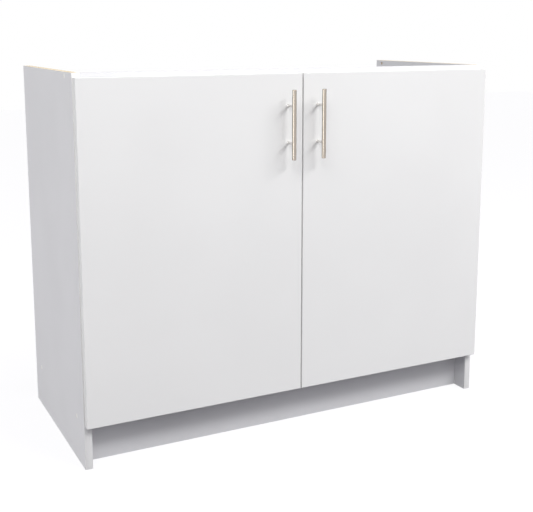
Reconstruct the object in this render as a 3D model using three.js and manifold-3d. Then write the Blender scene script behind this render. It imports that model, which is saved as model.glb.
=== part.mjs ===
// Sink base cabinet: a chipboard carcass with an open top and an open back, and two slab doors
// on concealed cup hinges. Millimetres, +X to the right seen from the front, +Y towards the
// wall, +Z up, floor at Z = 0. Inside the model Y = 0 is the front edge of the side panels.
import * as THREE from 'three';
import Module from 'manifold-3d';
import { mergeVertices } from 'three/addons/utils/BufferGeometryUtils.js';
import { RoundedBoxGeometry } from 'three/addons/geometries/RoundedBoxGeometry.js';

const wasm = await Module();
wasm.setup();

// ---- Carcass ----
const cabinetWidth = 1000;
const cabinetHeight = 820;
const carcassDepth = 432;
const boardThickness = 16;
const jointFit = 0.25; // what a joint between two boards or fittings leaves open
const plinthHeight = 90; // floor to the underside of the base panel
const plinthRecess = 40;
const frontRailHeight = 70;
const rearRailHeight = 100;
const cornerBlockSide = 22;
const cornerBlockHeight = 50;

// ---- Doors ----
const doorThickness = 16;
const doorGap = 2; // between the carcass and the closed doors
const doorMeetingGap = 3;
const doorReveal = 1.5; // side panel left showing beside a door
const doorTopDrop = 9; // cabinet top to door top
const doorFloorGap = 96;
const doorEdgeRadius = 0.8;
const bumperRadius = 3.5;
const bumperInset = 12;
const bumperAir = 0.3;

// ---- Bar handles ----
const barLength = 150;
const barRadius = 4.5;
const barChamfer = 0.6;
const barStandoff = 28; // door face to the bar's axis
const barSideInset = 35; // door's meeting edge to the bar's axis
const barTopInset = 109; // door top to the bar's middle
const postSpacing = 80;
const postRadius = 3.5;
const handleScrewRadius = 2;
const handleScrewHeadRadius = 4;
const handleScrewHeadHeight = 2;
const handleScrewGrip = 9; // how far the screw goes into the post

// ---- Cup hinges ----
const hingeEndInset = 100; // door's top or bottom edge to the hinge
const cupRadius = 17.5;
const cupWall = 1;
const cupDepth = 11;
const cupEdge = 5; // door's side edge to the cup's rim
const flangeThickness = 1.2;
const flangeLip = 1.5;
const wingReach = 24; // cup centre to the wing's screw
const wingRadius = 6.5;
const linkNotch = 8.4; // opening in the cup's rim that the link swings through
const earInner = 3.8;
const earOuter = 6;
const pinRadius = 1.5;
const pinAir = 0.2;
const eyeRadius = 2.7;
const linkHalfWidth = 1.7;
const linkInner = 2;
const linkOuter = 3.4;
const armInner = 4.8;
const armOuter = 6.2;
const armHalfWidth = 3.8;
const armEyeRadius = 3.2;
const armPinInset = 24.2; // side panel's inner face to the arm's pin
const armPinSetback = 3.3; // carcass front to the arm's pin
const cupPinFromEdge = 10.8; // door's side edge to the cup's pin
const cupPinDepth = 6.3; // door's back face to the cup's pin
const linkBendFromEdge = 19.3;
const linkBendDepth = 7.6;
const plateSetback = 37; // carcass front to the mounting plate's screws
const plateWingReach = 16;
const plateWingWidth = 12;
const plateThickness = 2;
const spineFront = 22;
const spineBack = 62;
const armAxisInset = 7.6;
const webThickness = 1.8;

// ---- Screws, caps, cams ----
const capRadius = 5;
const capHeight = 0.8;
const capSink = 0.1; // how far a cap's crown lies below the panel's face
const capStemLength = 2.4;
const capStemRadius = 1.6;
const screwRadius = 2.5;
const screwHeadRadius = 4.3;
const screwHeadHeight = 3;
const screwSocketDepth = 2.8;
const screwLength = 50;
const screwInset = 56; // front or back edge of a side panel to the base screws
const spareHoleInset = 56;
const dowelHoleRadius = 3.5;
const dowelHoleDepth = 12;
const dowelHoleInset = 26; // back edge to the spare dowel hole
const camRadius = 7.5;
const camDepth = 12.5;
const camInset = 34;
const camSlotWidth = 2;
const camSlotLength = 9;
const camSlotDepth = 1.5;

// ---- Worked out from the above ----
const halfWidth = cabinetWidth / 2;
const innerHalf = halfWidth - boardThickness;
const doorBack = -doorGap;
const doorFront = doorBack - doorThickness;
const doorTop = cabinetHeight - doorTopDrop;
const doorHeight = doorTop - doorFloorGap;
const doorWidth = (cabinetWidth - doorMeetingGap) / 2 - doorReveal;
const baseMiddle = plinthHeight + boardThickness / 2;
const topHoleHeight = cabinetHeight - boardThickness / 2;
const capUnderside = capSink + capHeight;
const capSeat = capUnderside + jointFit; // panel's face to the floor of a cap's recess
const frontReach = -doorFront + barStandoff + barRadius;
const roundSteps = 28;
const pinSteps = 12;

// ---- Materials ----
const paint = (color, roughness, metalness) =>
  new THREE.MeshStandardMaterial({ color, roughness, metalness });
const melamine = paint(0xeeeeee, 0.45, 0);
const doorFoil = paint(0xf2f2f2, 0.35, 0);
const nickel = paint(0xb9b0a2, 0.3, 1);
const plated = paint(0xc4c6c8, 0.3, 1);
const whitePlastic = paint(0xf6f6f4, 0.4, 0);
const clearPlastic = paint(0xdfe3e2, 0.25, 0);

// ---- Solids ----
const toSolid = (geometry) => {
  const bare = geometry.clone();
  bare.deleteAttribute('normal');
  bare.deleteAttribute('uv');
  const merged = mergeVertices(bare, 1e-5);
  return new wasm.Manifold(new wasm.Mesh({
    numProp: 3,
    vertProperties: Float32Array.from(merged.attributes.position.array),
    triVerts: Uint32Array.from(merged.index.array),
  }));
};

const fromSolid = (solid) => {
  const mesh = solid.getMesh();
  const geometry = new THREE.BufferGeometry();
  geometry.setAttribute('position', new THREE.BufferAttribute(mesh.vertProperties, 3));
  geometry.setIndex(new THREE.BufferAttribute(mesh.triVerts, 1));
  geometry.computeVertexNormals();
  return geometry;
};

const join = (...geometries) => {
  const solids = geometries.map(toSolid);
  return fromSolid(solids.slice(1).reduce((sum, next) => sum.add(next), solids[0]));
};

const cut = (geometry, ...tools) => {
  const start = toSolid(geometry);
  return fromSolid(tools.map(toSolid).reduce((rest, tool) => rest.subtract(tool), start));
};

// A box between two values on each axis.
const block = ([x0, x1], [y0, y1], [z0, z1]) => {
  const sizes = [Math.abs(x1 - x0), Math.abs(y1 - y0), Math.abs(z1 - z0)];
  const box = new THREE.BoxGeometry(...sizes);
  return box.translate((x0 + x1) / 2, (y0 + y1) / 2, (z0 + z1) / 2);
};

// Round bars along each axis: a centre in the other two, and two ends.
const barZ = (radius, [x, y], [z0, z1], steps = roundSteps) =>
  new THREE.CylinderGeometry(radius, radius, Math.abs(z1 - z0), steps)
    .rotateX(Math.PI / 2).translate(x, y, (z0 + z1) / 2);
const barY = (radius, [x, z], [y0, y1], steps = roundSteps) =>
  new THREE.CylinderGeometry(radius, radius, Math.abs(y1 - y0), steps)
    .translate(x, (y0 + y1) / 2, z);
const barX = (radius, [y, z], [x0, x1], steps = roundSteps) =>
  new THREE.CylinderGeometry(radius, radius, Math.abs(x1 - x0), steps)
    .rotateZ(Math.PI / 2).translate((x0 + x1) / 2, y, z);

// A turned piece: [radius, height] points from the axis back to the axis.
const turned = (points, steps = roundSteps) =>
  new THREE.LatheGeometry(points.map(([r, h]) => new THREE.Vector2(r, h)), steps);

// A flat strap with round ends between two points in plan, from one height to another.
const strap = ([x0, y0], [x1, y1], radius, [z0, z1]) => {
  const along = Math.atan2(y1 - y0, x1 - x0);
  const outline = new THREE.Shape();
  outline.absarc(x0, y0, radius, along + Math.PI / 2, along + 1.5 * Math.PI);
  outline.absarc(x1, y1, radius, along - Math.PI / 2, along + Math.PI / 2);
  outline.closePath();
  const depth = Math.abs(z1 - z0);
  return new THREE.ExtrudeGeometry(outline, { depth, bevelEnabled: false, curveSegments: 3 })
    .translate(0, 0, Math.min(z0, z1));
};

const cabinet = new THREE.Group();
// The middle of the whole depth, handles included, lies over the origin.
cabinet.position.y = (frontReach - carcassDepth) / 2;

const add = (name, geometry, material, place = [0, 0, 0]) => {
  const mesh = new THREE.Mesh(geometry, material);
  mesh.name = name;
  mesh.position.set(...place);
  cabinet.add(mesh);
};

// ---- Carcass boards ----
const screwSpots = [
  ['front', screwInset],
  ['rear', carcassDepth - screwInset],
];
const screwHole = screwRadius + jointFit;
const panelHoles = (side) => {
  const outer = side * halfWidth;
  const inward = (depth) => outer - side * depth;
  const through = [inward(-1), inward(boardThickness + 1)];
  const recess = (place) => barX(capRadius + jointFit, place, [inward(-1), inward(capSeat)]);
  const headEnd = capSeat + screwHeadHeight + jointFit;
  const holes = screwSpots.flatMap(([, y]) => [
    recess([y, baseMiddle]),
    barX(screwHole, [y, baseMiddle], through, pinSteps),
    barX(screwHeadRadius + jointFit, [y, baseMiddle], [inward(-1), inward(headEnd)]),
  ]);
  holes.push(recess([spareHoleInset, topHoleHeight]));
  holes.push(barX(screwHole, [spareHoleInset, topHoleHeight], through, pinSteps));
  holes.push(barX(
    dowelHoleRadius,
    [carcassDepth - dowelHoleInset, topHoleHeight],
    [inward(boardThickness - dowelHoleDepth), inward(boardThickness + 1)],
  ));
  return holes;
};

const sidePanel = (side) => {
  const board = block([side * innerHalf, side * halfWidth], [0, carcassDepth], [0, cabinetHeight]);
  return cut(board, ...panelHoles(side));
};

const boardHalf = innerHalf - jointFit;
const pilotDepth = capSeat + screwLength + jointFit;
const basePanel = () => {
  const board = block([-boardHalf, boardHalf], [0, carcassDepth], [plinthHeight, plinthHeight + boardThickness]);
  const pilots = [-1, 1].flatMap((side) => screwSpots.map(([, y]) => barX(
    screwHole,
    [y, baseMiddle],
    [side * (halfWidth - pilotDepth), side * (innerHalf + 1)],
    pinSteps,
  )));
  return cut(board, ...pilots);
};

// A rail on edge, with a cam bored into one face near each end.
const rail = ([y0, y1], [z0, z1], camFace, camWay) => {
  const board = block([-boardHalf, boardHalf], [y0, y1], [z0, z1]);
  const depth = camDepth + jointFit;
  const bores = [-1, 1].map((side) => barY(
    camRadius + jointFit,
    [side * (innerHalf - camInset), (z0 + z1) / 2],
    [camFace + camWay, camFace - camWay * depth],
  ));
  return cut(board, ...bores);
};

// The cam's face is flush with the rail's, with a cross slot for the screwdriver.
const cam = (x, z, face, way) => {
  const disc = barY(camRadius, [x, z], [face - way * camDepth, face]);
  const slotFloor = face - way * camSlotDepth;
  const slots = [[camSlotLength, camSlotWidth], [camSlotWidth, camSlotLength]].map(([w, h]) =>
    block([x - w / 2, x + w / 2], [slotFloor, face + way], [z - h / 2, z + h / 2]));
  return cut(disc, ...slots);
};

add('left_side_panel', sidePanel(-1), melamine);
add('right_side_panel', sidePanel(1), melamine);
add('base_panel', basePanel(), melamine);

const railBottom = cabinetHeight - frontRailHeight;
const rearFace = carcassDepth - boardThickness;
const rearRailBottom = plinthHeight + boardThickness + jointFit;
add(
  'front_top_rail',
  rail([0, boardThickness], [railBottom, cabinetHeight], boardThickness, 1),
  melamine,
);
add(
  'rear_lower_rail',
  rail([rearFace, carcassDepth], [rearRailBottom, rearRailBottom + rearRailHeight], rearFace, -1),
  melamine,
);
const plinthTop = plinthHeight - jointFit;
const plinthBack = plinthRecess + boardThickness;
add('plinth_board', block([-boardHalf, boardHalf], [plinthRecess, plinthBack], [0, plinthTop]), melamine);

const sides = [['left', -1], ['right', 1]];
for (const [word, side] of sides) {
  const camX = side * (innerHalf - camInset);
  const frontCam = cam(camX, railBottom + frontRailHeight / 2, boardThickness, 1);
  add(`front_rail_cam_${word}`, frontCam, plated);
  const rearCam = cam(camX, rearRailBottom + rearRailHeight / 2, rearFace, -1);
  add(`rear_rail_cam_${word}`, rearCam, plated);

  const blockOuter = side * boardHalf;
  const blockBack = plinthBack + jointFit + cornerBlockSide;
  add(`plinth_corner_block_${word}`, block(
    [blockOuter - side * cornerBlockSide, blockOuter],
    [plinthBack + jointFit, blockBack],
    [plinthTop - cornerBlockHeight, plinthTop],
  ), whitePlastic);
}

// ---- Base screws and cover caps ----
// Both are turned about their own axis, and lie along X with the head outwards.
const outwards = (geometry, side) => geometry.rotateZ(-side * Math.PI / 2);
const screw = (side) => {
  const body = turned([
    [0, -screwLength], [screwRadius, -screwLength], [screwRadius, -screwHeadHeight],
    [screwHeadRadius, 0], [0, 0],
  ], pinSteps * 1.5);
  const socket = barY(capStemRadius + jointFit, [0, 0], [-screwSocketDepth, 1], 6);
  return outwards(cut(body, socket), side);
};
const cap = (side, stemRadius) => outwards(turned([
  [0, -capStemLength], [stemRadius, -capStemLength], [stemRadius, 0],
  [capRadius, 0], [capRadius, capHeight / 3], [capRadius * 0.75, capHeight * 0.85], [0, capHeight],
]), side);

for (const [word, side] of sides) {
  for (const [end, y] of screwSpots) {
    const screwPlace = [side * (halfWidth - capSeat), y, baseMiddle];
    add(`base_screw_${word}_${end}`, screw(side), plated, screwPlace);
    const capPlace = [side * (halfWidth - capUnderside), y, baseMiddle];
    add(`cover_cap_${word}_${end}`, cap(side, capStemRadius), whitePlastic, capPlace);
  }
  const topPlace = [side * (halfWidth - capUnderside), spareHoleInset, topHoleHeight];
  add(`cover_cap_${word}_top`, cap(side, screwRadius), whitePlastic, topPlace);
}

// ---- Cup hinges ----
// u runs from a side panel's inner face towards the middle, v is the same as Y.
const plan = (side, u, v) => [side * (innerHalf - u), v];
const doorEdge = doorReveal - boardThickness;
const cupCentre = doorEdge + cupEdge + cupRadius;
const armPin = [armPinInset, armPinSetback];
const cupPin = [doorEdge + cupPinFromEdge, doorBack - cupPinDepth];
const linkBend = [doorEdge + linkBendFromEdge, doorBack - linkBendDepth];
const both = (side, z, [low, high]) => [[z + low, z + high], [z - high, z - low]];

const hingeCup = (side, z) => {
  const [x] = plan(side, cupCentre, 0);
  const floor = doorBack - cupDepth;
  const flangeBottom = doorBack + jointFit;
  const flangeTop = flangeBottom + flangeThickness;
  const [edgeX] = plan(side, doorEdge, 0);
  const [pinX] = plan(side, ...cupPin);
  const [earX] = plan(side, cupPin[0] + eyeRadius + 0.6, 0);
  const [wallX] = plan(side, cupCentre - cupRadius + cupWall, 0);
  const wings = strap([x, z - wingReach], [x, z + wingReach], wingRadius, [0, flangeThickness])
    .translate(0, -z, 0).rotateX(Math.PI / 2).translate(0, flangeTop, z);
  const shell = join(
    barY(cupRadius, [x, z], [floor, flangeTop]),
    barY(cupRadius + flangeLip, [x, z], [flangeBottom, flangeTop]),
    wings,
  );
  const hollow = barY(cupRadius - cupWall, [x, z], [floor + cupWall, flangeTop + 1]);
  const notch = block(
    [edgeX, pinX], [cupPin[1] + eyeRadius, flangeTop + 1], [z - linkNotch / 2, z + linkNotch / 2],
  );
  const ears = both(side, z, [earInner, earOuter]).map((span) =>
    block([wallX, earX], [floor + cupWall / 2, cupPin[1] + eyeRadius], span));
  const earReach = barY(cupRadius - cupWall / 2, [x, z], [floor, flangeTop]);
  const trimmed = ears.map((ear) => fromSolid(toSolid(ear).intersect(toSolid(earReach))));
  const pin = barZ(pinRadius, [pinX, cupPin[1]], [z - earInner - 1, z + earInner + 1], pinSteps);
  return join(cut(shell, hollow, notch), ...trimmed, pin);
};

// Two bent cheeks on a sleeve at each end.
const hingeLink = (side, z) => {
  const [from, bend, to] = [cupPin, linkBend, armPin].map(([u, v]) => plan(side, u, v));
  const cheeks = both(side, z, [linkInner, linkOuter]).flatMap((span) => [
    strap(from, bend, linkHalfWidth, span),
    strap(bend, to, linkHalfWidth, span),
  ]);
  const whole = [z - linkOuter, z + linkOuter];
  const sleeves = [from, to].map((place) => barZ(eyeRadius, place, whole, pinSteps * 2));
  const bores = [from, to].map((place) =>
    barZ(pinRadius + pinAir, place, [whole[0] - 1, whole[1] + 1], pinSteps));
  return cut(join(...cheeks, ...sleeves), ...bores);
};

// Two cranked cheeks under a web, with the pin that carries the link.
const hingeArm = (side, z) => {
  const back = plan(side, armAxisInset, spineBack);
  const elbow = plan(side, armAxisInset, spineFront + armHalfWidth);
  const nose = plan(side, ...armPin);
  const cheeks = both(side, z, [armInner, armOuter]).flatMap((span) => [
    strap(back, elbow, armHalfWidth, span),
    strap(elbow, nose, armEyeRadius, span),
  ]);
  const webTop = armAxisInset + armHalfWidth;
  const web = block(
    [plan(side, webTop - webThickness, 0)[0], plan(side, webTop, 0)[0]],
    [elbow[1], spineBack], [z - armOuter, z + armOuter],
  );
  const pin = barZ(pinRadius, nose, [z - armInner - 1, z + armInner + 1], pinSteps);
  return join(...cheeks, web, pin);
};

// A cross-shaped plate on the panel, with the spine that the arm sits over.
const mountingPlate = (side, z) => {
  const at = (u) => plan(side, u, 0)[0];
  const foot = [at(jointFit), at(jointFit + plateThickness)];
  const spineTop = armAxisInset + armHalfWidth - webThickness - jointFit;
  const spineHalf = armInner - jointFit;
  const wing = [z - plateWingReach, z + plateWingReach].map((height) =>
    barX(plateWingWidth / 2, [plateSetback, height], foot, pinSteps * 1.5));
  return join(
    block(foot, [spineFront, spineBack], [z - armOuter, z + armOuter]),
    block([at(jointFit), at(spineTop)], [spineFront, spineBack], [z - spineHalf, z + spineHalf]),
    block(
      foot,
      [plateSetback - plateWingWidth / 2, plateSetback + plateWingWidth / 2],
      [z - plateWingReach, z + plateWingReach],
    ),
    ...wing,
  );
};

const hingeHeights = [
  ['upper', doorTop - hingeEndInset],
  ['lower', doorFloorGap + hingeEndInset],
];
for (const [word, side] of sides) {
  for (const [level, z] of hingeHeights) {
    const name = `${word}_${level}_hinge`;
    add(`${name}_cup`, hingeCup(side, z), plated);
    add(`${name}_link`, hingeLink(side, z), plated);
    add(`${name}_arm`, hingeArm(side, z), plated);
    add(`${name}_plate`, mountingPlate(side, z), plated);
  }
}

// ---- Doors ----
const postHeights = [
  ['upper', doorTop - barTopInset + postSpacing / 2],
  ['lower', doorTop - barTopInset - postSpacing / 2],
];
const barX0 = doorMeetingGap / 2 + barSideInset;

const door = (side) => {
  const slab = new RoundedBoxGeometry(doorWidth, doorThickness, doorHeight, 1, doorEdgeRadius)
    .translate(
      side * (doorMeetingGap + doorWidth) / 2,
      (doorFront + doorBack) / 2,
      doorFloorGap + doorHeight / 2,
    );
  const [cupX] = plan(side, cupCentre, 0);
  const cups = hingeHeights.map(([, z]) =>
    barY(cupRadius + jointFit, [cupX, z], [doorBack - cupDepth - jointFit, doorBack + 1]));
  const holes = postHeights.map(([, z]) =>
    barY(handleScrewRadius + jointFit, [side * barX0, z], [doorFront - 1, doorBack + 1], pinSteps));
  return cut(slab, ...cups, ...holes);
};

const handleBar = () => {
  const half = barLength / 2;
  return turned([
    [0, -half], [barRadius - barChamfer, -half], [barRadius, -half + barChamfer],
    [barRadius, half - barChamfer], [barRadius - barChamfer, half], [0, half],
  ]).rotateX(Math.PI / 2);
};

// A post from the door's face to the bar, saddled to the bar and bored for its screw.
const barAxis = doorFront - barStandoff;
const handlePost = (x, z) => {
  const post = barY(postRadius, [x, z], [barAxis, doorFront - jointFit]);
  const saddle = barZ(barRadius + jointFit, [x, barAxis], [z - postRadius - 1, z + postRadius + 1]);
  const thread = barY(
    handleScrewRadius + jointFit,
    [x, z],
    [doorFront - handleScrewGrip - jointFit, doorFront + 1],
    pinSteps,
  );
  return cut(post, saddle, thread);
};

const handleScrew = () => {
  const shank = doorThickness + jointFit + handleScrewGrip;
  return turned([
    [0, -shank], [handleScrewRadius, -shank], [handleScrewRadius, 0],
    [handleScrewHeadRadius, 0], [handleScrewHeadRadius, handleScrewHeadHeight * 0.5],
    [handleScrewHeadRadius * 0.6, handleScrewHeadHeight], [0, handleScrewHeadHeight],
  ], pinSteps);
};

const bumperHeights = [
  ['upper', doorTop - bumperInset],
  ['lower', (doorFloorGap + plinthHeight + boardThickness) / 2],
];
const bumper = () => turned([
  [0, 0], [bumperRadius, 0], [bumperRadius * 0.9, (doorGap - bumperAir) * 0.6],
  [bumperRadius * 0.55, doorGap - bumperAir], [0, doorGap - bumperAir],
], pinSteps * 1.5);

for (const [word, side] of sides) {
  add(`${word}_door`, door(side), doorFoil);
  const handleX = side * barX0;
  add(`${word}_handle_bar`, handleBar(), nickel, [handleX, barAxis, doorTop - barTopInset]);
  for (const [level, z] of postHeights) {
    add(`${word}_handle_${level}_post`, handlePost(handleX, z), nickel);
    const headSeat = doorBack + jointFit;
    add(`${word}_handle_${level}_screw`, handleScrew(), plated, [handleX, headSeat, z]);
  }
  for (const [level, z] of bumperHeights) {
    const bumperX = side * (doorMeetingGap / 2 + bumperInset);
    add(`${word}_${level}_bumper`, bumper(), clearPlastic, [bumperX, doorBack, z]);
  }
}

export default cabinet;
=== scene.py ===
"""Looks of a white sink base unit: boards, doors, bar handles, cup hinges, fittings and stage."""
from math import cos, pi, radians, sin

import bmesh
import bpy
from mathutils import Euler, Matrix, Vector


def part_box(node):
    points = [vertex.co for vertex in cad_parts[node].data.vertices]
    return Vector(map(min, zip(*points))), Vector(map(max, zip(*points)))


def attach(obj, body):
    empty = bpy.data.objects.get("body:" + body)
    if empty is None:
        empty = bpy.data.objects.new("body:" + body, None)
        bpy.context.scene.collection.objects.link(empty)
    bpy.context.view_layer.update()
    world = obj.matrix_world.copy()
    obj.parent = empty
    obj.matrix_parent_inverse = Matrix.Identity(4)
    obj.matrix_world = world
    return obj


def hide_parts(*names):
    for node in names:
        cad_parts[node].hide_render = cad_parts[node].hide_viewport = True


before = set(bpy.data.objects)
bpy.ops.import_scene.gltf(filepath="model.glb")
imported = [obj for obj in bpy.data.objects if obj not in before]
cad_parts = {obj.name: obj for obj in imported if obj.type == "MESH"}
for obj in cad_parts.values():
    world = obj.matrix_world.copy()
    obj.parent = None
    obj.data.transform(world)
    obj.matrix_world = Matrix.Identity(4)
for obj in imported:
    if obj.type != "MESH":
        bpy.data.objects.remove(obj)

bl_info = {
    "name": "Sink Base Unit",
    "version": (1, 0, 0),
    "blender": (4, 5, 0),
    "location": "View3D > Sidebar > Sink Unit",
    "description": "Builds the finishes and small fittings of a two-door sink base unit",
    "category": "Object",
}

MM = 0.001
MERGE_DISTANCE = 1e-6
X, Y, Z = range(3)
SIDES = (("left", -1), ("right", 1))
LEVELS = ("upper", "lower")
PHOTO_WIDTH = 533  # pixels
WHITE = (1, 1, 1, 1)

# Sizes that the frame gives, in metres.
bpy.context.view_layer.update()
PANEL_LOW, PANEL_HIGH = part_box("left_side_panel")
FRONT = PANEL_LOW.y  # the carcass's front plane

# Where the screws of a hinge sit: a line is behind the carcass's front, and a reach is above and
# below the hinge's middle.
CUP_SCREW_REACH = 24 * MM
PLATE_SCREW_LINE = 37 * MM
PLATE_SCREW_REACH = 16 * MM
PLATE_THICKNESS = 2 * MM
ARM_SCREW_LINES = (34 * MM, 52 * MM)
ARM_MIDDLE_LINE = 45 * MM


# ---------------------------------------------------------------------------
# Colours and node helpers
# ---------------------------------------------------------------------------

# A Mix node has sockets for each kind of data, and they are told apart by number.
FACTOR, GREY_A, GREY_B, COLOUR_A, COLOUR_B = 0, 2, 3, 6, 7
GREY_OUT, COLOUR_OUT = 0, 2
MULTIPLY = {"data_type": "RGBA", "blend_type": "MULTIPLY"}


def linear(hex_colour):
    """An sRGB hex colour as linear RGBA."""
    value = hex_colour.lstrip("#")
    channels = [int(value[i:i + 2], 16) / 255 for i in (0, 2, 4)]
    curve = [c / 12.92 if c <= 0.04045 else ((c + 0.055) / 1.055) ** 2.4 for c in channels]
    return (*curve, 1)


def feed(tree, node, sockets):
    """Gives each of a node's sockets, by name or number, the source or the value named for it."""
    for key, source in sockets.items():
        if isinstance(source, bpy.types.NodeSocket):
            tree.links.new(source, node.inputs[key])
        else:
            node.inputs[key].default_value = source


def add_node(tree, kind, sockets=None, stops=(), **settings):
    """Adds a node: settings are its properties, sockets what feeds it, and stops the places of a
    colour ramp with a hex colour or a grey for each."""
    node = tree.nodes.new(kind)
    for key, value in settings.items():
        setattr(node, key, value)
    feed(tree, node, sockets or {})
    if stops:
        elements = node.color_ramp.elements
        while len(elements) < len(stops):
            elements.new(0.5)
        for element, (place, colour) in zip(elements, stops):
            element.position = place
            is_hex = isinstance(colour, str)
            element.color = linear(colour) if is_hex else (colour, colour, colour, 1)
    return node


def new_material(name):
    """A material with its Principled shader: (material, tree, shader)."""
    material = bpy.data.materials.new(name)
    material.use_nodes = True
    tree = material.node_tree
    return material, tree, tree.nodes["Principled BSDF"]


def place_of(tree, scale=(1, 1, 1)):
    """Object coordinates in metres, stretched along each axis."""
    coords = add_node(tree, "ShaderNodeTexCoord").outputs["Object"]
    mapping = add_node(tree, "ShaderNodeMapping", {"Vector": coords, "Scale": scale})
    return mapping.outputs["Vector"]


def any_of(tree, masks):
    """1 where one of the masks is 1."""
    found = masks[0]
    for mask in masks[1:]:
        both = add_node(tree, "ShaderNodeMath", {0: found, 1: mask}, operation="MAXIMUM")
        found = both.outputs[0]
    return found


def seen_rays(tree):
    """1 for what the camera, a reflection or a clear piece shows, and 0 for light on the unit."""
    path = add_node(tree, "ShaderNodeLightPath")
    rays = ("Is Camera Ray", "Is Glossy Ray", "Is Transmission Ray")
    return any_of(tree, [path.outputs[ray] for ray in rays])


def wire_surface(tree, shader, pattern, roughness, relief=None, tint=None):
    """Lets patterns vary a surface. roughness is the least and the most over the pattern, relief
    a height with the bumps' strength and depth in metres, and tint a colour with the ramp that
    darkens it."""
    least, most = roughness
    gloss = add_node(
        tree, "ShaderNodeMapRange", {"Value": pattern, "To Min": least, "To Max": most},
    )
    feed(tree, shader, {"Roughness": gloss.outputs["Result"]})
    if relief:
        height, strength, depth = relief
        bumps = add_node(
            tree, "ShaderNodeBump", {"Height": height, "Strength": strength, "Distance": depth},
        )
        feed(tree, shader, {"Normal": bumps.outputs["Normal"]})
    if tint:
        colour, shades = tint
        mixed = add_node(
            tree, "ShaderNodeMix",
            {FACTOR: 1.0, COLOUR_A: colour, COLOUR_B: shades.outputs["Color"]}, **MULTIPLY,
        )
        feed(tree, shader, {"Base Color": mixed.outputs[COLOUR_OUT]})


# ---------------------------------------------------------------------------
# Materials
# ---------------------------------------------------------------------------

def chipboard_layers(tree, place):
    """Pressed wood chips, seen on a sawn edge: pale flakes 2 to 5 mm long with dark gaps. Gives
    their colour and their height."""
    chips = add_node(
        tree, "ShaderNodeTexVoronoi", {"Vector": place, "Scale": 1 / (2.6 * MM), "Randomness": 1.0},
    )
    fine = add_node(
        tree, "ShaderNodeTexNoise", {"Vector": place, "Scale": 1 / (0.9 * MM), "Detail": 5.0},
    ).outputs["Fac"]
    flakes = add_node(
        tree, "ShaderNodeValToRGB", {"Fac": chips.outputs["Color"]},
        stops=((0.15, "#CDB890"), (0.5, "#E4D6B8"), (0.85, "#F0E6CF")),
    )
    gaps = add_node(
        tree, "ShaderNodeValToRGB", {"Fac": fine}, stops=((0.34, "#B39768"), (0.5, "#FFFFFF")),
    )
    colour = add_node(
        tree, "ShaderNodeMix",
        {FACTOR: 0.55, COLOUR_A: flakes.outputs["Color"], COLOUR_B: gaps.outputs["Color"]},
        **MULTIPLY,
    )
    return colour.outputs[COLOUR_OUT], fine


def raw_mask(tree, place, bare, bored):
    """1 where a board shows its chips: on the bare edges, each an (axis, sign), and inside the
    holes of a bored board, whose near and far sides are given from the unit's middle."""
    faces_axis = 0.7  # the part of a normal along an axis from which the face counts as its edge
    normal = add_node(tree, "ShaderNodeNewGeometry").outputs["True Normal"]
    parts = add_node(tree, "ShaderNodeSeparateXYZ", {"Vector": normal})
    masks = [
        add_node(
            tree, "ShaderNodeMath", {0: parts.outputs[axis], 1: faces_axis * sign},
            operation="GREATER_THAN" if sign > 0 else "LESS_THAN",
        ).outputs[0]
        for axis, sign in bare
    ]
    if bored:
        near, far = bored
        paper = 0.3 * MM  # thickness of the facing
        across = add_node(tree, "ShaderNodeSeparateXYZ", {"Vector": place}).outputs["X"]
        out = add_node(tree, "ShaderNodeMath", {0: across}, operation="ABSOLUTE")
        # Compare gives 1 within a distance of a value: here, between the papers of both faces.
        deep = add_node(
            tree, "ShaderNodeMath",
            {0: out.outputs[0], 1: (near + far) / 2, 2: (far - near) / 2 - paper},
            operation="COMPARE",
        )
        masks.append(deep.outputs[0])
    return any_of(tree, masks)


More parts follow.
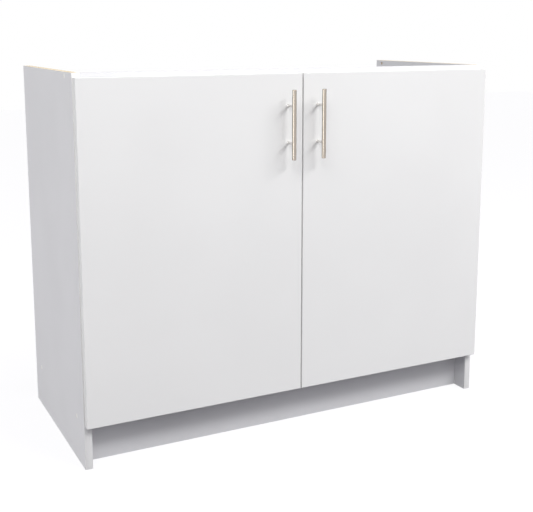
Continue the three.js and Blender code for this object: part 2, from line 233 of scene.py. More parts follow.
def melamine_board(settings, name, face_axis, bare, bored=None):
    """Melamine-faced chipboard, pressed and sawn: satin white faces with a pebbled grain about a
    millimetre wide and a slow unevenness, and raw chips on edges without banding and down inside
    drilled holes. face_axis is the axis across the board; bare and bored are as in raw_mask."""
    material, tree, shader = new_material(name)
    place = place_of(tree)
    pebble = add_node(
        tree, "ShaderNodeTexNoise", {"Vector": place, "Scale": 1 / (1.1 * MM), "Detail": 3.0},
    ).outputs["Fac"]
    slow = add_node(
        tree, "ShaderNodeTexNoise", {"Vector": place, "Scale": 1 / (220 * MM), "Detail": 2.0},
    ).outputs["Fac"]
    white = add_node(tree, "ShaderNodeValToRGB", {"Fac": slow}, stops=((0.3, 0.96), (0.7, 1.0)))
    white.color_ramp.interpolation = "EASE"
    face = add_node(
        tree, "ShaderNodeMix",
        {FACTOR: 1.0, COLOUR_A: settings.melamine, COLOUR_B: white.outputs["Color"]}, **MULTIPLY,
    )
    # Chips lie flat in the board, so the pattern is squeezed across its thickness.
    squeeze = [0.55, 0.55, 0.55]
    squeeze[face_axis] = 1.5
    raw, raw_height = chipboard_layers(tree, place_of(tree, squeeze))
    mask = raw_mask(tree, place, bare, bored)
    colour = add_node(
        tree, "ShaderNodeMix", {FACTOR: mask, COLOUR_A: face.outputs[COLOUR_OUT], COLOUR_B: raw},
        data_type="RGBA",
    )
    gloss = add_node(tree, "ShaderNodeMapRange", {"Value": pebble, "To Min": 0.36, "To Max": 0.5})
    rough = add_node(
        tree, "ShaderNodeMix", {FACTOR: mask, GREY_A: gloss.outputs["Result"], GREY_B: 0.85},
        data_type="FLOAT",
    )
    # Sawn chips are five times as coarse as the pebble.
    coarse = add_node(tree, "ShaderNodeMath", {0: raw_height, 1: 5.0}, operation="MULTIPLY")
    height = add_node(
        tree, "ShaderNodeMix", {FACTOR: mask, GREY_A: pebble, GREY_B: coarse.outputs[0]},
        data_type="FLOAT",
    )
    bumps = add_node(
        tree, "ShaderNodeBump",
        {"Height": height.outputs[GREY_OUT], "Strength": 0.25, "Distance": 0.06 * MM},
    )
    feed(tree, shader, {
        "Base Color": colour.outputs[COLOUR_OUT], "Roughness": rough.outputs[GREY_OUT],
        "Normal": bumps.outputs["Normal"], "IOR": 1.5,
    })
    return material


def edge_banding(settings):
    """ABS edge banding, extruded and glued: smoother and a touch brighter than the board, with
    the faint lengthwise lines of the roll."""
    material, tree, shader = new_material("white_abs_edge_banding")
    lines = add_node(
        tree, "ShaderNodeTexNoise",
        {"Vector": place_of(tree, (1, 1, 0.01)), "Scale": 1 / (0.8 * MM), "Detail": 2.0},
    ).outputs["Fac"]
    wire_surface(tree, shader, lines, (0.28, 0.42), relief=(lines, 0.15, 0.02 * MM))
    feed(tree, shader, {"Base Color": settings.banding, "IOR": 1.53})
    return material


def door_foil(settings):
    """Foil-wrapped door board, vacuum pressed: a clean satin white with a very fine orange peel
    about 2 mm wide, which breaks reflections softly."""
    material, tree, shader = new_material("white_door_foil")
    place = place_of(tree)
    peel = add_node(
        tree, "ShaderNodeTexNoise", {"Vector": place, "Scale": 1 / (2.2 * MM), "Detail": 2.0},
    ).outputs["Fac"]
    slow = add_node(
        tree, "ShaderNodeTexNoise", {"Vector": place, "Scale": 1 / (300 * MM), "Detail": 2.0},
    ).outputs["Fac"]
    tone = add_node(tree, "ShaderNodeValToRGB", {"Fac": slow}, stops=((0.3, 0.975), (0.7, 1.0)))
    tone.color_ramp.interpolation = "EASE"
    wire_surface(
        tree, shader, slow, (0.32, 0.4), relief=(peel, 0.12, 0.03 * MM), tint=(settings.foil, tone),
    )
    feed(tree, shader, {"IOR": 1.5})
    return material


def satin_nickel(settings):
    """Nickel-plated bar, ground along its length: warm grey metal with fine lengthwise lines that
    draw each reflection out into a long soft stripe."""
    material, tree, shader = new_material("satin_nickel_plating")
    lines = add_node(
        tree, "ShaderNodeTexNoise",
        {"Vector": place_of(tree, (1, 1, 0.02)), "Scale": 1 / (0.35 * MM), "Detail": 4.0},
    ).outputs["Fac"]
    tone = add_node(tree, "ShaderNodeValToRGB", {"Fac": lines}, stops=((0.3, 0.9), (0.7, 1.0)))
    wire_surface(
        tree, shader, lines, (0.18, 0.3), relief=(lines, 0.2, 0.01 * MM),
        tint=(settings.nickel, tone),
    )
    feed(tree, shader, {"Metallic": 1.0, "Specular Tint": settings.nickel_edge})
    return material


def plated_steel(name, colour):
    """Pressed steel with bright nickel plating: cool and fairly sharp, with faint rolling marks
    and a little dullness where the press bent it."""
    material, tree, shader = new_material(name)
    marks = add_node(
        tree, "ShaderNodeTexNoise",
        {"Vector": place_of(tree), "Scale": 1 / (4 * MM), "Detail": 5.0},
    ).outputs["Fac"]
    tone = add_node(tree, "ShaderNodeValToRGB", {"Fac": marks}, stops=((0.3, 0.92), (0.65, 1.0)))
    wire_surface(
        tree, shader, marks, (0.16, 0.36), relief=(marks, 0.1, 0.02 * MM), tint=(colour, tone),
    )
    feed(tree, shader, {"Metallic": 1.0})
    return material


def die_cast_zinc(settings):
    """Zinc cam fittings, die cast and tumbled: dull grey with a soft grain."""
    material, tree, shader = new_material("tumbled_zinc")
    grain = add_node(
        tree, "ShaderNodeTexNoise",
        {"Vector": place_of(tree), "Scale": 1 / (0.8 * MM), "Detail": 4.0},
    ).outputs["Fac"]
    tone = add_node(tree, "ShaderNodeValToRGB", {"Fac": grain}, stops=((0.3, 0.8), (0.7, 1.0)))
    wire_surface(
        tree, shader, grain, (0.4, 0.6), relief=(grain, 0.3, 0.04 * MM), tint=(settings.zinc, tone),
    )
    feed(tree, shader, {"Metallic": 1.0})
    return material


def moulded_plastic(settings):
    """Moulded polypropylene caps and blocks: white, low sheen, with a faint spark-eroded grain."""
    material, tree, shader = new_material("white_moulded_polypropylene")
    grain = add_node(
        tree, "ShaderNodeTexNoise",
        {"Vector": place_of(tree), "Scale": 1 / (0.5 * MM), "Detail": 2.0},
    ).outputs["Fac"]
    wire_surface(tree, shader, grain, (0.36, 0.48), relief=(grain, 0.15, 0.02 * MM))
    feed(tree, shader, {"Base Color": settings.plastic, "IOR": 1.49})
    return material


def clear_bumper(settings):
    """Cast polyurethane bumpers: clear soft drops with a glossy skin, slightly milky inside."""
    material, tree, shader = new_material("clear_cast_polyurethane")
    skin = add_node(
        tree, "ShaderNodeTexNoise",
        {"Vector": place_of(tree), "Scale": 1 / (1.5 * MM), "Detail": 2.0},
    ).outputs["Fac"]
    wire_surface(tree, shader, skin, (0.08, 0.18))
    feed(tree, shader, {"Base Color": settings.bumper, "Transmission Weight": 0.6, "IOR": 1.5})
    return material


# ---------------------------------------------------------------------------
# CAD nodes and mesh helpers
# ---------------------------------------------------------------------------

# Turns that lay a piece modelled along +Z onto another axis.
ALONG = {
    "+Z": Matrix.Identity(4),
    "+Y": Matrix.Rotation(-pi / 2, 4, "X"),
    "-Y": Matrix.Rotation(pi / 2, 4, "X"),
    "+X": Matrix.Rotation(pi / 2, 4, "Y"),
    "-X": Matrix.Rotation(-pi / 2, 4, "Y"),
}


def nodes_named(*starts):
    """The names of the CAD nodes that start with any of the given words."""
    return sorted(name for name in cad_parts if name.startswith(starts))


def paint(names, material):
    """Gives CAD nodes a material."""
    for name in names:
        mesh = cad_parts[name].data
        mesh.materials.clear()
        mesh.materials.append(material)


def finish_piece(bm, name, material, body, replaces=(), crease=35):
    """Turns a bmesh into a piece of the unit that rides on a body. Edges that turn by more than
    crease, in degrees, stay sharp."""
    bmesh.ops.remove_doubles(bm, verts=bm.verts, dist=MERGE_DISTANCE)
    bmesh.ops.recalc_face_normals(bm, faces=bm.faces)
    mesh = bpy.data.meshes.new(name)
    bm.to_mesh(mesh)
    bm.free()
    mesh.shade_smooth()
    mesh.set_sharp_from_angle(angle=radians(crease))
    mesh.materials.append(material)
    piece = bpy.data.objects.new(name, mesh)
    bpy.context.scene.collection.objects.link(piece)
    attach(piece, body)
    if replaces:
        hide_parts(*replaces)


def turn(bm, profile, steps=48):
    """Spins (radius, height) points in metres about +Z and returns the new vertices."""
    before = set(bm.verts)
    points = [bm.verts.new((radius, 0, height)) for radius, height in profile]
    edges = [bm.edges.new(pair) for pair in zip(points, points[1:])]
    bmesh.ops.spin(
        bm, geom=points + edges, cent=(0, 0, 0), axis=(0, 0, 1), dvec=(0, 0, 0),
        angle=2 * pi, steps=steps, use_merge=True, use_normal_flip=False, use_duplicate=False,
    )
    new = [v for v in bm.verts if v not in before]
    bmesh.ops.remove_doubles(bm, verts=new, dist=MERGE_DISTANCE)
    return [v for v in bm.verts if v not in before]


def quarter_turn(steps):
    """The angles from 0 to a quarter turn, for a rounded edge of a profile."""
    return [index / steps * pi / 2 for index in range(steps + 1)]


def brick(bm, low, high, edge, segments=2):
    """A box between two corners, its edges rounded by a radius."""
    made = bmesh.ops.create_cube(bm, size=1)["verts"]
    low, high = Vector(low), Vector(high)
    bmesh.ops.scale(bm, vec=high - low, verts=made)
    bmesh.ops.translate(bm, vec=(low + high) / 2, verts=made)
    edges = [e for e in bm.edges if e.verts[0] in made]
    bmesh.ops.bevel(
        bm, geom=made + edges, offset=edge, offset_type="OFFSET", affect="EDGES",
        segments=segments, profile=0.5, material=-1,
    )


def lay(bm, verts, axis, place):
    """Moves vertices modelled about the origin along +Z to a place, facing along an axis."""
    bmesh.ops.transform(bm, matrix=Matrix.Translation(place) @ ALONG[axis], verts=verts)


def cross_head(bm, radius, rise, axis, place, flat=0.72, recess=0.5):
    """A screw head with a cross recess: the rings of its dome, then a plus that is sunk into it.
    flat is the radius of the dome's flat top, and recess the plus's depth, as parts of radius."""
    before = set(bm.verts)
    sides = 24
    rings = []
    # Each ring of the dome is a part of the radius wide and a part of the rise high.
    for part, height in ((1.0, 0.0), (0.97, 0.45), (flat, 1.0)):
        ring = bmesh.ops.create_circle(bm, segments=sides, radius=radius * part)["verts"]
        bmesh.ops.translate(bm, vec=(0, 0, rise * height), verts=ring)
        rings.append(ring)
    # The plus's arms reach this far and are twice this wide, and its floor is smaller by taper.
    arm, half, taper = radius * 0.58, radius * 0.16, 0.7
    plus = [
        bm.verts.new(Matrix.Rotation(quarter * pi / 2, 3, "Z") @ Vector((x, y, rise)))
        for quarter in range(4)
        for x, y in ((half, half), (half, arm), (-half, arm))
    ]
    rings.append(plus)
    loops = [
        [bm.edges.get(pair) or bm.edges.new(pair) for pair in zip(ring, ring[1:] + ring[:1])]
        for ring in rings
    ]
    for outer, inner in zip(loops, loops[1:]):
        bmesh.ops.bridge_loops(bm, edges=outer + inner)
    top = bm.faces.new(plus)
    sunk = bmesh.ops.extrude_discrete_faces(bm, faces=[top])["faces"][0]
    bmesh.ops.translate(bm, vec=(0, 0, -recess * radius), verts=list(sunk.verts))
    bmesh.ops.scale(bm, vec=(taper, taper, 1), verts=list(sunk.verts))
    bm.faces.new(rings[0])
    lay(bm, [v for v in bm.verts if v not in before], axis, place)


# ---------------------------------------------------------------------------
# Settings
# ---------------------------------------------------------------------------

def colour_property(name, description, hex_colour):
    """A colour that a user would change."""
    return bpy.props.FloatVectorProperty(
        name=name, description=description, subtype="COLOR", size=4, min=0, max=1,
        default=linear(hex_colour),
    )


def length_property(name, description, metres):
    """A length that a user would change."""
    return bpy.props.FloatProperty(
        name=name, description=description, default=metres, min=0, unit="LENGTH", precision=4,
    )


class SinkUnitBoards(bpy.types.PropertyGroup):
    """Colours and sizes of the carcass boards and doors."""
    melamine: colour_property("Melamine", "White face of the carcass boards", "#E3E3E5")
    foil: colour_property("Door foil", "White of the doors", "#ECECEB")
    banding: colour_property("Edge banding", "White of the glued edges", "#F5F5F4")
    banding_thickness: length_property(
        "Banding thickness", "Thickness of the glued edge", 0.25 * MM,
    )
    banding_radius: length_property("Banding radius", "Rounding of its edges", 0.1 * MM)


class SinkUnitHandles(bpy.types.PropertyGroup):
    """Colours and sizes of the bar handles."""
    nickel: colour_property("Nickel", "Colour of the satin bars", "#B5ACA1")
    nickel_edge: colour_property("Nickel edge", "Colour of a bar at a grazing angle", "#8A8075")
    post: colour_property("Post", "Colour of the bright posts", "#E8E6E3")
    chamfer: length_property("End chamfer", "Chamfer of a bar's ends", 0.7 * MM)
    post_foot: length_property("Post foot", "Height of a post's wider foot", 1.2 * MM)


class SinkUnitFittings(bpy.types.PropertyGroup):
    """Colours and sizes of hinges, screws, caps and bumpers."""
    steel: colour_property("Plated steel", "Hinges and screws", "#C6C8CA")
    zinc: colour_property("Zinc", "Cam fittings", "#A9ABAC")
    plastic: colour_property("Plastic", "Cover caps and corner blocks", "#F5F5F3")
    bumper: colour_property("Bumper", "Door bumpers", "#E6EAE8")
    screw_head: length_property("Screw head", "Radius of a hinge screw's head", 3.4 * MM)
    adjuster: length_property("Adjusting screw", "Radius of an arm's adjusting screw", 2.9 * MM)


class SinkUnitStage(bpy.types.PropertyGroup):
    """Camera and floor."""
    camera_place: bpy.props.FloatVectorProperty(
        name="Camera place", description="Where the photograph was taken from",
        default=(-0.9588, -1.9444, 0.8959), unit="LENGTH",
    )
    camera_yaw: bpy.props.FloatProperty(
        name="Camera yaw", description="Turn of the camera to the right of +Y",
        default=radians(26.625), unit="ROTATION",
    )
    camera_pitch: bpy.props.FloatProperty(
        name="Camera pitch", description="How far the camera looks down",
        default=radians(9.882), unit="ROTATION",
    )
    focal_pixels: bpy.props.FloatProperty(
        name="Focal length",
        description=f"Focal length in pixels of the {PHOTO_WIDTH} pixel wide frame",
        default=914.4, min=1,
    )
    shift: bpy.props.FloatProperty(
        name="Vertical shift", description="Part of the frame's width that the lens is shifted by",
        default=-0.12,
    )
    floor: colour_property("Floor", "Colour of the floor", "#6A696E")


class SinkUnitSettings(bpy.types.PropertyGroup):
    """All that a user of the unit would change."""
    boards: bpy.props.PointerProperty(type=SinkUnitBoards)
    handles: bpy.props.PointerProperty(type=SinkUnitHandles)
    fittings: bpy.props.PointerProperty(type=SinkUnitFittings)
    stage: bpy.props.PointerProperty(type=SinkUnitStage)


# ---------------------------------------------------------------------------
# Operators
# ---------------------------------------------------------------------------

class SINKUNIT_OT_boards(bpy.types.Operator):
    """Finishes the carcass boards and glues their front edge banding"""
    bl_idname = "sinkunit.boards"
    bl_label = "Carcass boards"

    def execute(self, context):
        settings = context.scene.sink_unit.boards
        ends = ((X, 1), (X, -1))
        front_and_back = ((Y, 1), (Y, -1))
        top, foot = (Z, 1), (Z, -1)
        # Each row has the nodes, the finish, the axis across the board, the raw edges, and the
        # sides between which it is bored. The plinth's and the front rail's long edges are banded.
        for names, finish, face_axis, bare, bored in (
            (
                ("left_side_panel", "right_side_panel"), "side_panel", X,
                (*front_and_back, top, foot), (-PANEL_HIGH.x, -PANEL_LOW.x),
            ),
            (("base_panel",), "base_panel", Z, (*ends, *front_and_back), None),
            (("plinth_board",), "plinth", Y, ends, None),
            (("front_top_rail",), "front_rail", Y, ends, None),
            (("rear_lower_rail",), "rear_rail", Y, (*ends, foot), None),
        ):
            name = f"melamine_faced_{finish}"
            paint(names, melamine_board(settings, name, face_axis, bare, bored))
        banding = edge_banding(settings)
        for node, name in (
            ("left_side_panel", "left_panel_front_banding"),
            ("right_side_panel", "right_panel_front_banding"),
            ("base_panel", "base_panel_front_banding"),
        ):
            low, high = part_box(node)
            outer = (low.x, FRONT - settings.banding_thickness, low.z)
            bm = bmesh.new()
            brick(bm, outer, (high.x, FRONT, high.z), settings.banding_radius)
            finish_piece(bm, name, banding, "carcass")
        return {"FINISHED"}


class SINKUNIT_OT_doors(bpy.types.Operator):
    """Finishes the two doors"""
    bl_idname = "sinkunit.doors"
    bl_label = "Doors"

    def execute(self, context):
        # The frame's doors have the rounded edges that the foil is drawn over.
        paint(["left_door", "right_door"], door_foil(context.scene.sink_unit.boards))
        return {"FINISHED"}


class SINKUNIT_OT_handles(bpy.types.Operator):
    """Turns the handles' bars and posts, with their screws"""
    bl_idname = "sinkunit.handles"
    bl_label = "Bar handles"

    def execute(self, context):
        settings = context.scene.sink_unit.handles
        nickel = satin_nickel(settings)
        bright = plated_steel("polished_nickel_posts", settings.post)
        steel = plated_steel("bright_plated_screws", context.scene.sink_unit.fittings.steel)
        for word, _ in SIDES:
            self.bar(settings, nickel, word)
            for level in LEVELS:
                self.post(settings, bright, word, level)
                self.screw(steel, word, level)
        return {"FINISHED"}

    def bar(self, settings, nickel, word):
        """A round bar, with chamfered ends that were softened by grinding."""
        low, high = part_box(f"{word}_handle_bar")
        radius, half = (high.x - low.x) / 2, (high.z - low.z) / 2
        cut = settings.chamfer
        soft = cut * 0.3
        lip = soft * 0.3
        profile = [
            (0, -half), (radius - cut - soft, -half), (radius - cut, -half + lip),
            (radius - lip, -half + cut), (radius, -half + cut + soft),
        ]
        profile += [(r, -h) for r, h in reversed(profile)]
        bm = bmesh.new()
        lay(bm, turn(bm, profile, 64), "+Z", (low + high) / 2)
        finish_piece(
            bm, f"{word}_turned_handle_bar", nickel, f"{word}_door_set",
            [f"{word}_handle_bar"], crease=50,
        )

    def post(self, settings, bright, word, level):
        """A turned post: a foot on the door, a narrower waist, and a bore for its screw."""
        low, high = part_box(f"{word}_handle_{level}_post")
        bar_low, bar_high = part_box(f"{word}_handle_bar")
        bar_radius = (bar_high.x - bar_low.x) / 2
        radius = (high.x - low.x) / 2
        centre = (low + high) / 2
        sink = 0.4 * MM  # how far the post's end is let into the bar
        length = high.y - (bar_low.y + bar_high.y) / 2 - bar_radius + sink
        foot, waist, soft = settings.post_foot, radius * 0.88, 0.25 * MM
        bore, depth = 2.25 * MM, 9 * MM
        profile = [
            (0, depth), (bore, depth), (bore, 0), (radius - soft, 0), (radius, soft),
            (radius, foot), (waist, foot + soft * 2), (waist, length), (0, length),
        ]
        bm = bmesh.new()
        lay(bm, turn(bm, profile), "-Y", (centre.x, high.y, centre.z))
        finish_piece(
            bm, f"{word}_{level}_turned_post", bright, f"{word}_door_set",
            [f"{word}_handle_{level}_post"],
        )

    def screw(self, steel, word, level):
        """A machine screw: a head on the door's inner face, and a thread cut as grooves."""
        node = f"{word}_handle_{level}_screw"
        low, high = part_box(node)
        centre = (low + high) / 2
        head_rise = 2 * MM
        seat = high.y - head_rise
        length = seat - low.y
        shank, pitch = 2 * MM, 0.7 * MM
        root, tip = shank * 0.86, shank * 0.6
        profile = [(0, 0)]
        for index in range(int(length / pitch)):
            start = index * pitch
            profile += [(shank, start), (root, start + pitch / 2)]
        profile += [(tip, length), (0, length)]
        bm = bmesh.new()
        cross_head(bm, (high.x - low.x) / 2, head_rise, "+Y", (centre.x, seat, centre.z))
        lay(bm, turn(bm, profile, 20), "-Y", (centre.x, seat, centre.z))
        finish_piece(
            bm, f"{word}_{level}_machine_screw", steel, f"{word}_door_set", [node],
        )


class SINKUNIT_OT_hinges(bpy.types.Operator):
    """Finishes the cup hinges and drives their screws"""
    bl_idname = "sinkunit.hinges"
    bl_label = "Cup hinges"

    def execute(self, context):
        settings = context.scene.sink_unit.fittings
        steel = plated_steel("nickel_plated_pressings", settings.steel)
        for word, side in SIDES:
            for level in LEVELS:
                name = f"{word}_{level}_hinge"
                paint([f"{name}_{part}" for part in ("cup", "link", "arm", "plate")], steel)
                self.cup_screws(settings, steel, word, name)
                self.carcass_screws(settings, steel, side, name)
        return {"FINISHED"}

    def cup_screws(self, settings, steel, word, name):
        """The heads of the two low screws that hold a cup's flange to the door."""
        low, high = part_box(f"{name}_cup")
        centre = (low + high) / 2
        rise = 0.7 * MM
        bm = bmesh.new()
        for sign in (-1, 1):
            place = (centre.x, high.y, centre.z + sign * CUP_SCREW_REACH)
            cross_head(bm, settings.screw_head, rise, "+Y", place, flat=0.6, recess=0.25)
        finish_piece(bm, f"{name}_cup_screws", steel, f"{word}_door_set")

    def carcass_screws(self, settings, steel, side, name):
        """The heads of the plate's two screws in the side panel, and of the arm's two adjusting
        screws. Both face the middle of the unit."""
        low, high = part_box(f"{name}_plate")
        centre = (low + high) / 2
        panel, axis = (high.x, "-X") if side > 0 else (low.x, "+X")
        wing = panel - side * PLATE_THICKNESS
        plate_rise, arm_rise = 1.1 * MM, 1.0 * MM
        bm = bmesh.new()
        for sign in (-1, 1):
            place = (wing, FRONT + PLATE_SCREW_LINE, centre.z + sign * PLATE_SCREW_REACH)
            cross_head(bm, settings.screw_head, plate_rise, axis, place)
        web = self.web_face(side, name)
        for line in ARM_SCREW_LINES:
            cross_head(bm, settings.adjuster, arm_rise, axis, (web, FRONT + line, centre.z))
        finish_piece(bm, f"{name}_fixing_screws", steel, "carcass")

    def web_face(self, side, name):
        """Where the flat top of the arm's channel lies, found from the arm's rear half."""
        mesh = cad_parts[f"{name}_arm"].data
        rear = [v.co.x for v in mesh.vertices if v.co.y > FRONT + ARM_MIDDLE_LINE]
        return min(rear) if side > 0 else max(rear)


class SINKUNIT_OT_fixings(bpy.types.Operator):
    """Finishes the screws and cams, and moulds the caps and corner blocks"""
    bl_idname = "sinkunit.fixings"
    bl_label = "Caps, cams and blocks"

    def execute(self, context):
        settings = context.scene.sink_unit.fittings
        plastic = moulded_plastic(settings)
        paint(nodes_named("base_screw_"), plated_steel("zinc_plated_base_screws", settings.steel))
        paint(nodes_named("front_rail_cam", "rear_rail_cam"), die_cast_zinc(settings))
        for node in nodes_named("cover_cap_"):
            self.cap(plastic, node)
        for word, side in SIDES:
            self.corner_block(plastic, word, side)
        return {"FINISHED"}

    def cap(self, plastic, node):
        """A push-in cap: a stem with a lead-in, and a head with a rounded rim."""
        low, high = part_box(node)
        centre = (low + high) / 2
        air = 0.2 * MM  # round the frame's cap; this one fills its counterbore
        rise, edge = 0.8 * MM, 0.15 * MM
        radius = (high.z - low.z) / 2 + air
        stem = high.x - low.x - rise
        stem_radius, nose_radius, lead = 1.6 * MM, 1.4 * MM, 0.4 * MM
        axis, seat = ("-X", low.x + rise) if low.x < 0 else ("+X", high.x - rise)
        profile = [
            (0, -stem), (nose_radius, -stem), (stem_radius, -stem + lead), (stem_radius, 0),
            (radius, 0),
        ]
        profile += [
            (radius - edge * (1 - cos(angle)), rise - edge * (1 - sin(angle)))
            for angle in quarter_turn(6)
        ]
        profile.append((0, rise))
        bm = bmesh.new()
        lay(bm, turn(bm, profile), axis, (seat, centre.y, centre.z))
        name = node.replace("cover_cap", "moulded_cap")
        finish_piece(bm, name, plastic, "carcass", [node])

    def corner_block(self, plastic, word, side):
        """A rounded block with a rim round a sunk panel on its two free faces."""
        node = f"plinth_corner_block_{word}"
        low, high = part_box(node)
        rounding, rim, sink = 1.2 * MM, 2.5 * MM, 2 * MM
        least_area = 4e-4  # square metres, more than any face of the rounding has
        square_on = 0.9  # the part of a normal along an axis from which a face looks that way
        bm = bmesh.new()
        brick(bm, low, high, rounding, segments=3)
        free = [
            face for face in bm.faces
            if face.calc_area() > least_area
            and (face.normal.y > square_on or face.normal.x * side < -square_on)
        ]
        bmesh.ops.inset_individual(bm, faces=free, thickness=rim, depth=0)
        for face in free:
            bmesh.ops.translate(bm, vec=-face.normal * sink, verts=list(face.verts))
        finish_piece(
            bm, f"moulded_corner_block_{word}", plastic, "carcass", [node],
        )


class SINKUNIT_OT_bumpers(bpy.types.Operator):
    """Sticks a clear bumper inside each corner where the doors meet"""
    bl_idname = "sinkunit.bumpers"
    bl_label = "Door bumpers"

    def execute(self, context):
        clear = clear_bumper(context.scene.sink_unit.fittings)
        for word, _ in SIDES:
            for level in LEVELS:
                self.bumper(clear, word, level)
        return {"FINISHED"}

    def bumper(self, clear, word, level):
        """A flat drop: a low upright edge, and a crown that is fuller than a quarter round."""
        node = f"{word}_{level}_bumper"
        low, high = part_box(node)
        centre = (low + high) / 2
        radius, rise = (high.x - low.x) / 2, high.y - low.y
        upright, fullness = 0.15, 0.6
        profile = [(0, 0), (radius, 0)]
        profile += [
            (radius * cos(angle) ** fullness, rise * (upright + (1 - upright) * sin(angle)))
            for angle in quarter_turn(8)[:-1]
        ]
        profile.append((0, rise))
        bm = bmesh.new()
        lay(bm, turn(bm, profile, 32), "+Y", (centre.x, low.y, centre.z))
        finish_piece(
            bm, f"{word}_{level}_cast_bumper", clear, f"{word}_door_set", [node],
        )


# Each lamp's name, place, aim, width and height in metres, and power in watts, and then whether it
# lights surfaces and whether reflections show it.
LAMPS = (
    # A wide flat key, high at the right, so that the bars' shadows are soft.
    ("key_soft_box", (1.6, -2.3, 3.0), (0.1, -0.2, 0.5), (2.7, 0.6), 101, True, True),
    # A weaker fill, high at the left.
    ("front_fill_box", (-1.5, -2.1, 2.7), (0.0, -0.2, 0.45), (1.6, 0.8), 27, True, True),
    # A fill for the left side panel.
    ("side_fill_box", (-2.4, 0.2, 0.85), (-0.5, 0.0, 0.5), (1.2, 1.2), 8.5, True, False),
    # A strip that draws the bright line down each bar.
    ("bar_highlight_strip", (-1.2, -0.75, 0.67), (0.0, -0.25, 0.67), (0.45, 1.3), 7, False, True),
)


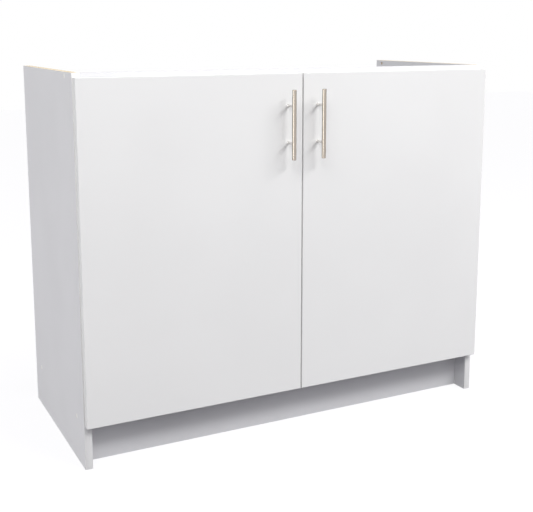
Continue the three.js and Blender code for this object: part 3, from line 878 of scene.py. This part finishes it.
class SINKUNIT_OT_stage(bpy.types.Operator):
    """Sets the floor, the lamps, the white background and the photograph's camera"""
    bl_idname = "sinkunit.stage"
    bl_label = "Stage"

    def execute(self, context):
        settings = context.scene.sink_unit.stage
        self.camera(context.scene, settings)
        self.floor(context.scene, settings)
        self.world(context.scene)
        self.lamps(context.scene)
        context.scene.view_settings.view_transform = "Standard"
        return {"FINISHED"}

    def camera(self, scene, settings):
        """The photograph's camera, whose fitted focal length is in pixels."""
        data = bpy.data.cameras.new("photograph_camera")
        data.sensor_fit = "HORIZONTAL"
        data.sensor_width = 36
        data.lens = settings.focal_pixels * data.sensor_width / PHOTO_WIDTH
        data.shift_y = settings.shift
        data.clip_start = 0.05
        data.clip_end = 50
        camera = bpy.data.objects.new("photograph_camera", data)
        camera.location = settings.camera_place
        turned = Euler((pi / 2 - settings.camera_pitch, 0, -settings.camera_yaw), "XYZ")
        camera.rotation_euler = turned
        scene.collection.objects.link(camera)
        scene.camera = camera

    def floor(self, scene, settings):
        """A matt grey floor that keeps the unit's shadow, with a glow that only the camera,
        reflections and clear pieces show, so that its open part is white."""
        half_side = 9  # metres
        glow = 0.86  # which the lamps' light on the grey brings up to white
        bm = bmesh.new()
        bmesh.ops.create_grid(bm, x_segments=1, y_segments=1, size=half_side)
        mesh = bpy.data.meshes.new("studio_floor")
        bm.to_mesh(mesh)
        bm.free()
        floor = bpy.data.objects.new("studio_floor", mesh)
        scene.collection.objects.link(floor)
        material, tree, shader = new_material("matt_studio_floor")
        strength = add_node(
            tree, "ShaderNodeMath", {0: seen_rays(tree), 1: glow}, operation="MULTIPLY",
        )
        feed(tree, shader, {
            "Base Color": settings.floor, "Roughness": 0.95, "Specular IOR Level": 0.1,
            "Emission Color": WHITE, "Emission Strength": strength.outputs[0],
        })
        mesh.materials.append(material)

    def world(self, scene):
        """White where it is seen, and a fill from the upper walls for the unit. The fill fades
        towards the horizon and overhead, so that faces that look up don't outshine the upright
        ones."""
        world = bpy.data.worlds.new("white_studio")
        scene.world = world
        world.use_nodes = True
        tree = world.node_tree
        tree.nodes.clear()
        direction = add_node(tree, "ShaderNodeTexCoord").outputs["Generated"]
        height = add_node(tree, "ShaderNodeSeparateXYZ", {"Vector": direction}).outputs["Z"]
        wall = add_node(
            tree, "ShaderNodeMapRange",
            {"Value": height, "From Min": 0.15, "From Max": 0.6, "To Min": 0.1, "To Max": 1.6},
        )
        ceiling = add_node(
            tree, "ShaderNodeMapRange",
            {"Value": height, "From Min": 0.6, "From Max": 0.85, "To Min": 1.0, "To Max": 0.1},
        )
        strength = add_node(
            tree, "ShaderNodeMath",
            {0: wall.outputs["Result"], 1: ceiling.outputs["Result"]}, operation="MULTIPLY",
        )
        fill = add_node(
            tree, "ShaderNodeBackground",
            {"Color": linear("#F8F7FA"), "Strength": strength.outputs[0]},
        )
        white = add_node(tree, "ShaderNodeBackground", {"Color": WHITE, "Strength": 1.0})
        mix = add_node(
            tree, "ShaderNodeMixShader",
            {0: seen_rays(tree), 1: fill.outputs[0], 2: white.outputs[0]},
        )
        add_node(tree, "ShaderNodeOutputWorld", {"Surface": mix.outputs[0]})

    def lamps(self, scene):
        """Rectangular soft boxes, none of which the camera sees."""
        for name, place, aim, size, power, lights, shows in LAMPS:
            data = bpy.data.lights.new(name, "AREA")
            data.shape = "RECTANGLE"
            data.size, data.size_y = size
            data.energy = power
            lamp = bpy.data.objects.new(name, data)
            lamp.location = place
            lamp.rotation_euler = (Vector(place) - Vector(aim)).to_track_quat("Z", "Y").to_euler()
            lamp.visible_camera = False
            lamp.visible_diffuse = lights
            lamp.visible_glossy = shows
            scene.collection.objects.link(lamp)


# ---------------------------------------------------------------------------
# Panel and registration
# ---------------------------------------------------------------------------

OPERATORS = (
    SINKUNIT_OT_boards,
    SINKUNIT_OT_doors,
    SINKUNIT_OT_handles,
    SINKUNIT_OT_hinges,
    SINKUNIT_OT_fixings,
    SINKUNIT_OT_bumpers,
    SINKUNIT_OT_stage,
)


class SINKUNIT_PT_unit(bpy.types.Panel):
    """Settings and steps of the sink unit"""
    bl_idname = "SINKUNIT_PT_unit"
    bl_label = "Sink Base Unit"
    bl_space_type = "VIEW_3D"
    bl_region_type = "UI"
    bl_category = "Sink Unit"

    def draw(self, context):
        settings = context.scene.sink_unit
        for part in ("boards", "handles", "fittings", "stage"):
            group = getattr(settings, part)
            box = self.layout.box()
            box.label(text=part.capitalize())
            for key in group.__annotations__:
                box.prop(group, key)
        for operator in OPERATORS:
            self.layout.operator(operator.bl_idname)


CLASSES = (
    SinkUnitBoards, SinkUnitHandles, SinkUnitFittings, SinkUnitStage, SinkUnitSettings,
    *OPERATORS, SINKUNIT_PT_unit,
)


def register():
    for cls in CLASSES:
        bpy.utils.register_class(cls)
    bpy.types.Scene.sink_unit = bpy.props.PointerProperty(type=SinkUnitSettings)


def unregister():
    del bpy.types.Scene.sink_unit
    for cls in reversed(CLASSES):
        bpy.utils.unregister_class(cls)


def main():
    register()
    for operator in OPERATORS:
        group, name = operator.bl_idname.split(".")
        getattr(getattr(bpy.ops, group), name)()


if __name__ == "__main__":
    main()
